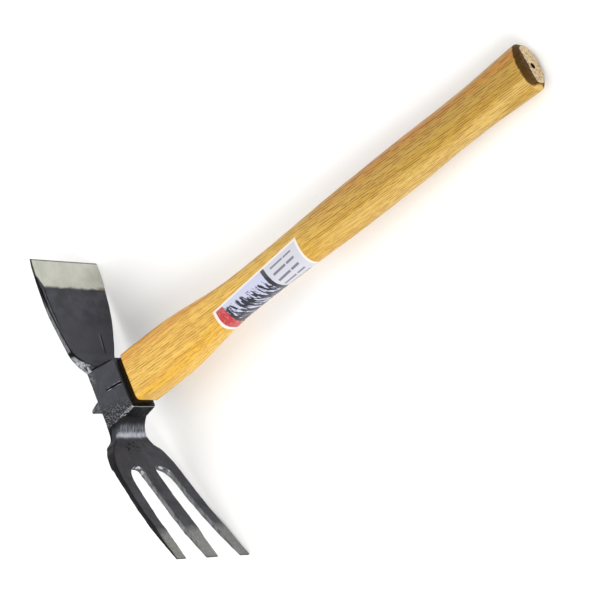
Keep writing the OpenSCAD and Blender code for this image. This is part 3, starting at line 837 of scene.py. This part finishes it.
def forkStrip(y, low, high, lowOpen, highOpen):
    # one tine and its share of the palm: a rounded box per height, square where it joins its neighbour
    s = forkSet
    box = roundedBox(34, 6, 6)
    inner, back = (column(v) for v in forkFaces(y))
    y, low, high = column(y), column(low), column(high)
    thick = inner - back
    r = np.minimum(s["corner"], thick * 0.35)
    pull = easeStep(s["tip"] + 0.8, s["tip"], y) * 0.5
    inner, back = inner - thick * pull * 0.5, back + thick * pull * 0.3
    joined = easeStep(s["root"] - 0.6, s["root"], y)
    side = np.abs(box["alongU"]) >= 0.999
    openHere = np.where(box["outU"] > 0, highOpen, lowOpen) * side
    own = r * (1 - joined * openHere)
    inward = np.sign(box["alongU"]) * own * (1 - np.abs(box["outU"]))
    rounded = (low + high) / 2 + (high - low) / 2 * box["alongU"] - inward
    rLow, rHigh = r * (1 - joined * lowOpen), r * (1 - joined * highOpen)
    between = low + rLow + (high - rHigh - low - rLow) * (box["alongU"] + 1) / 2
    z = np.where(side, rounded, between)
    v = box["alongV"] * (thick / 2 - own) + own * box["outV"]
    # a long shallow hollow down the back of the palm leaves it thinner in the middle: a circle's arc across,
    # straight along the tangent to the bend
    mid = s["hollowY"]
    tilt = math.asin((s["bendY"] - mid) / s["bend"])
    straightX = bendCircle(mid) - (y - mid) * math.tan(tilt)
    depth = s["hollow"] + s["hollowRadius"] - np.sqrt(s["hollowRadius"] ** 2 - z**2)
    scooped = straightX - depth / math.cos(tilt)
    inHollow = easeStep(*s["hollowLow"], y - mid) * (1 - easeStep(*s["hollowHigh"], y - mid))
    back = np.where((scooped > back) & (inHollow > 0), back + (scooped - back) * inHollow, back)
    x = back + (inner - back) * (v / (thick / 2) + 1) / 2
    points = np.stack([x, y + 0 * x, z], -1)
    height = uneven(points, s["waves"])
    points[..., 0] += height * box["outV"]
    points[..., 2] += height * box["outU"] * (1 - joined * openHere)
    wall = np.abs(box["outU"])
    marks = {"edge": wall * (1 - openHere), "slotWall": wall * openHere * (1 - joined),
             "front": np.clip(box["outV"] * 1.5, 0, 1), "inset": np.minimum(high - z, z - low)}
    return points, openHere > 0.5, {mark: values + 0 * x for mark, values in marks.items()}


def forkParts():
    s = forkSet
    root, chisel, tip = s["root"], s["chisel"], s["tip"]
    y = np.concatenate([np.linspace(s["top"], root + 0.2, 86), np.linspace(root, root - 8, 40),
                        np.linspace(root - 8.35, tip + 1, 170), tip + np.array([0.7, 0.45, 0.2, 0])])
    half = forkHalf(y)
    nearHalf = half + s["shoulderMore"] * np.exp(-(((y - s["shoulderY"]) / s["shoulderSpread"]) ** 2))
    off = np.where(y > root - 2, 0, along(s["crook"], y))
    split = np.minimum(s["split"], half * 0.55)
    taper = np.interp(-y, [-chisel, -tip], [s["middleRoot"], s["middleTip"]])
    middle = np.where(y > root - 6, along(s["rootMiddle"], y), taper)
    # the outer tines narrow from the root down, but not at the tip itself
    k = np.array([0.32, 0.46, 0.64, 1.0])
    outer = along(s["rootOuter"] + tineSide(k, s["outerTip"] + (2.4 - 2.6 * k) * (k < 0.9)), y)
    middle, outer = (np.where(y > root, split, side) for side in (middle, outer))
    strips = [(-half, -outer, 0, 1), (off - middle, off + middle, 1, 1), (outer, nearHalf, 1, 0)]
    points, faces, caps, marks = [], [], [], []
    start = 0
    for strip in strips:
        stripPoints, openColumn, stripMarks = forkStrip(y, *strip)
        rings, columns = stripPoints.shape[:2]
        # no wall where the strip joins the next one
        inPalm = y[:-1] > root + 0.01
        both = openColumn & np.roll(openColumn, -1)
        faces.append(ringFaces(rings, columns, False)[~(column(inPalm) & both)] + start)
        caps += [range(start, start + columns), range(start + (rings - 1) * columns, start + rings * columns)]
        points.append(stripPoints.reshape(-1, 3))
        marks.append(stripMarks)
        start += rings * columns
    together = {mark: np.concatenate([strip[mark].ravel() for strip in marks]) for mark in marks[0]}
    return {"points": np.concatenate(points), "faces": np.concatenate(faces), "caps": caps, "marks": together}


print("fork")
makePiece("forkTines", "fork", "forged_iron", forkFinish(), sharp=48, **forkParts())


# ---- welds ----

weldSet = {
    # each run's section: the front as (x, y) knots from the eye to the plate, and a point behind them
    "bladeFront": [(-16.4, 19.6), (-18.4, 21.2), (-20.0, 23.3), (-21.4, 25.6), (-22.4, 28.0)],
    "bladeBehind": (-24.5, 19), "bladeSeed": 41,
    "forkFront": [(-9.5, -19.4), (-13.2, -22.6), (-15.6, -25.8), (-17.6, -29.6), (-18.4, -34), (-18.9, -36)],
    "forkBehind": (-22, -20), "forkSeed": 45,
    "inset": 0.15, "rows": 26, "across": 90, "drawnIn": 0.1,
}


def weldRun(front, behind, half, seed):
    # the fillet's section in x and y, closed behind, carried across the width; its ends draw in a little
    s = weldSet
    run = curveThrough(front, s["rows"])
    section = np.vstack([run, [[behind[0], run[-1, 1]], [behind[0], run[0, 1]]]])
    share = np.linspace(-1, 1, s["across"])[:, None]
    z = share * (half(section[:, 1]) - s["inset"])
    drawn = easeStep(0.93, 1.0, np.abs(share)) * s["drawnIn"]
    x = section[:, 0] + (section[:, 0].mean() - section[:, 0]) * drawn + 0 * z
    points = np.stack([x, section[:, 1] + 0 * z, z], -1)
    height = 0.14 * lumps(points * [1, 1, 2.2], 2.4, seed) + 0.16 * lumps(points * [0.6, 0.6, 1], 5, seed + 1)
    points[..., 0] += height * 0.8
    points[..., 1] += height * 0.5 * np.sign(front[0][1])
    return points


print("welds")
bladeRun = weldRun(weldSet["bladeFront"], weldSet["bladeBehind"], lambda y: along(bladeSet["half"], y),
                   weldSet["bladeSeed"])
makeLoft("bladeWeld", "blade_weld", "weld_metal", bladeWeldFinish(), bladeRun, sharp=60)
forkRun = weldRun(weldSet["forkFront"], weldSet["forkBehind"], forkHalf, weldSet["forkSeed"])
makeLoft("forkWeld", "fork_weld", "weld_metal", forkWeldFinish(), forkRun, sharp=60)


# ---- wedge ----

wedgeSet = {
    # distance behind the mouth, then half height, middle height and half width
    "half": [(7, 0.6), (25.5, 3.2), (29.4, 2.75), (33, 1.9), (35.8, 1.25), (36.6, 0.9), (37.0, 0.3)],
    "middle": [(25.5, -1.4), (33, -1.65), (37, -2.3)],
    "wide": [(30, 7.0), (35.5, 6.7), (37, 6.1)],
    "corner": 0.7, "waves": [(0.14, 3, 51), (0.06, 1.2, 52)],
}


def wedgeGrid():
    # rounded boxes along x whose height swells and closes; the end is hammered off centre
    s = wedgeSet
    box = roundedBox(30, 8, 6)
    x = np.concatenate([np.linspace(-8, -29, 20), np.linspace(-29.6, -36.6, 26), [-36.85, -36.97]])
    half, middle, wide = (column(np.interp(-x, *zip(*s[name]))) for name in ("half", "middle", "wide"))
    r = np.minimum(s["corner"], half * 0.6)
    z, y = boxAt(box, middle, half, wide, r)
    points = np.stack([column(x) + 0 * z, y, z], -1)
    height = uneven(points, s["waves"])
    points[..., 1] += height * box["outV"]
    points[..., 2] += height * box["outU"]
    return points, {"edge": np.abs(box["outU"]) + 0 * z}


print("wedge")
wedgeRings, wedgeMarks = wedgeGrid()
makeLoft("wedgeSteel", "wedge", "wedge_steel", wedgeFinish(), wedgeRings, marks=wedgeMarks)


# ---- label ----

labelSet = {"start": 87.0, "long": 78.0, "wide": 32.0, "firstTurn": 101.0, "skew": -27.0,
            "wrap": 160.0, "proud": 0.21, "sunk": 0.15, "grassTurn": -62, "ruleGap": 4.4,
            "surface": {"Metallic": 0.0, "IOR": 1.45, "Coat Roughness": 0.2},
            "white": paint(182, 182, 191), "cream": paint(214, 204, 194), "red": paint(168, 30, 38),
            "sky": paint(172, 176, 206), "leaf": paint(22, 26, 38), "rule": paint(70, 66, 78)}


def labelGrid():
    # a thin sheet on the handle's own surface, turned a little as it goes along it
    s = labelSet
    u = np.linspace(0, 1, 90)[:, None]
    v = np.linspace(0, 1, 70)[None, :]
    turn = np.radians(s["firstTurn"] + s["skew"] * u + s["wrap"] * v)
    x = s["start"] + s["long"] * u + 0 * v
    size = handleSize(x)

    def skin(grow):
        out = handleRadius(size, turn, grow)
        return np.stack([x, size[..., 4] + out * np.cos(turn), out * np.sin(turn)], -1)

    sheet = np.stack([u + 0 * v, v + 0 * u], -1)
    return (np.concatenate([skin(s["proud"]), skin(-s["sunk"])[:, ::-1]], axis=1),
            np.concatenate([sheet, sheet[:, ::-1]], axis=1))


def labelFinish():
    s = labelSet
    f = Finish("labelPaper", s, s["surface"])
    # millimetres on the paper
    sheet = f.blank.node("ShaderNodeUVMap", {"uv_map": "sheet"}).stretch((s["long"], s["wide"], 1))
    long, across = sheet.xyz()[:2]
    wobble = f.wander(0.35, 0.5)
    inner = long.ramp(1.9, 2.3) * long.fall(76.2, 76.6) * across.ramp(1.2, 1.6) * across.fall(30.2, 30.6)
    # pale field with plain dark blades of grass bending up through it
    bent = sheet.stretch((1, 1, 1), s["grassTurn"])
    stalk = bent.grain((0.10, 0.52, 1), bend=0.9)
    thin = bent.grain((0.16, 1.1, 1), bend=0.7, shift=(4, 2, 0))
    rise = (across + wobble * 4 + (long - 10) * -0.10).ramp(1.5, 9.5)
    grass = (stalk + rise * 0.10).ramp(0.555, 0.575) + (thin + rise * 0.08).ramp(0.625, 0.645)
    f.colour = f.mix(f.point.noise(0.3, 3) * 0.8, "sky", "white")
    f.lay((grass * rise.ramp(0.1, 0.3)).least(1.0), "leaf")
    # red band with a curved side and a dark line beside it
    curve = long + (across - 10) * (across - 10) * 0.022 - wobble
    f.lay(curve.ramp(10.2, 10.6) * (curve + wobble * 3).fall(12.0, 12.4) * across.ramp(3.5, 5), "leaf")
    f.lay(curve.fall(9.4, 9.9), f.mix(f.point.noise(0.6, 3).ramp(0.45, 0.8) * 0.22, "red", "cream"))
    # the other panel is plain white with printed rules, past a dark bar that slants over the paper
    slant = long - across * 0.16
    rows = ((across - 2.6) / s["ruleGap"]).fraction().band(0.5, 0.12, 0.20)
    rules = rows * long.ramp(52, 52.4) * long.fall(71, 71.4) * across.ramp(4.2, 4.4)
    broken = f.point.grain((0.22, 0.01, 0.01), 1).ramp(0.40, 0.44)
    f.lay(slant.ramp(47.0, 47.2), f.mix(rules * broken * 0.8, "white", "rule"))
    f.lay(slant.ramp(44.0, 44.5) * (slant + wobble).fall(47.2, 47.6), "leaf")
    f.lay(1 - inner, "cream")
    crease = f.point.stretch((0.3, 1, 1)).noise(0.5, 4, 0.6)
    rub = f.point.noise(0.8, 4, 0.7).ramp(0.60, 0.72)
    f.lay(rub * 0.18, "white")
    return f.feed(roughness=0.34 + rub * 0.2, coat=0.25 + crease * 0.2, normal=f.bump(crease, 0.12, 0.0003))


print("label")
labelRings, labelSheet = labelGrid()
makeLoft("gripLabel", "label", "label_paper", labelFinish(), labelRings, uv=labelSheet)


# ---- studio ----

# metres in the frame, with the camera's own right, up and back directions
studioSet = {
    "sky": 0.86, "floor": paint(247, 247, 246), "floorPale": paint(250, 250, 249), "floorHalf": 6.0,
    "floorSurface": {"Roughness": 0.85, "Specular IOR Level": 0.2},
    "bladeRestY": 0.0906, "buttInset": 0.004, "buttRestY": 0.001, "buttLift": 0.0003, "gap": 0.0004,
    "lamps": {"keyLight": ((0.35, -1.1, 0.75), 0.9, 16.0), "fillLight": ((-1.1, 0.5, 0.9), 1.2, 5.0)},
    "lens": 141.24, "sensor": 36, "near": 0.05, "far": 20, "cameraPlace": (0.5564, -0.5285, 1.0482),
    "right": (0.6611, -0.3642, -0.6560), "up": (0.5116, 0.8584, 0.0391), "back": (0.5488, -0.3614, 0.7538),
}


def addObject(name, data):
    made = bpy.data.objects.new(name, data)
    bpy.context.scene.collection.objects.link(made)
    return made


def makeFloor():
    # a plane just under the three points that the tool rests on
    s = studioSet
    blade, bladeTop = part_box("blade_steel")
    tine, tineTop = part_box("fork")
    wood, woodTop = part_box("handle")
    rest = [Vector((bladeTop.x, s["bladeRestY"], blade.z)), Vector((tineTop.x, tine.y, tine.z)),
            Vector((woodTop.x - s["buttInset"], s["buttRestY"], wood.z + s["buttLift"]))]
    up = (rest[1] - rest[0]).cross(rest[2] - rest[0]).normalized()
    up = up if up.z > 0 else -up
    middle = (rest[0] + rest[1] + rest[2]) / 3 - up * s["gap"]
    side = up.cross(Vector((0, 1, 0))).normalized() * s["floorHalf"]
    ahead = up.cross(side)
    corners = [middle + side * a + ahead * b for a, b in ((-1, -1), (1, -1), (1, 1), (-1, 1))]
    mesh = bpy.data.meshes.new("floor")
    mesh.from_pydata([tuple(c) for c in corners], [], [(0, 1, 2, 3)])
    f = Finish("paleFloor", s, s["floorSurface"])
    f.colour = f.mix(f.point.noise(0.02, 2), "floor", "floorPale")
    mesh.materials.append(f.feed())
    addObject("floor", mesh)


def softBox(name, target, place, size, power):
    light = bpy.data.lights.new(name, "AREA")
    light.shape, light.size, light.energy = "SQUARE", size, power
    lamp = addObject(name, light)
    lamp.location = place
    lamp.rotation_euler = (Vector(target) - Vector(place)).to_track_quat("-Z", "Y").to_euler()


print("studio")
makeFloor()
world = bpy.data.worlds.new("studioSky")
bpy.context.scene.world = world
world.use_nodes = True
world.node_tree.nodes["Background"].inputs[0].default_value = (1, 1, 1, 1)
world.node_tree.nodes["Background"].inputs[1].default_value = studioSet["sky"]
for lampName, lampSet in studioSet["lamps"].items():
    softBox(lampName, (mouthX * 0.6, 0, 0), *lampSet)
bpy.context.scene.view_settings.view_transform = "Standard"

lens = bpy.data.cameras.new("camera")
lens.lens, lens.sensor_width = studioSet["lens"], studioSet["sensor"]
lens.clip_start, lens.clip_end = studioSet["near"], studioSet["far"]
camera = addObject("camera", lens)
turned = Matrix([studioSet[name] for name in ("right", "up", "back")]).transposed().to_4x4()
camera.matrix_world = Matrix.Translation(studioSet["cameraPlace"]) @ turned
bpy.context.scene.camera = camera
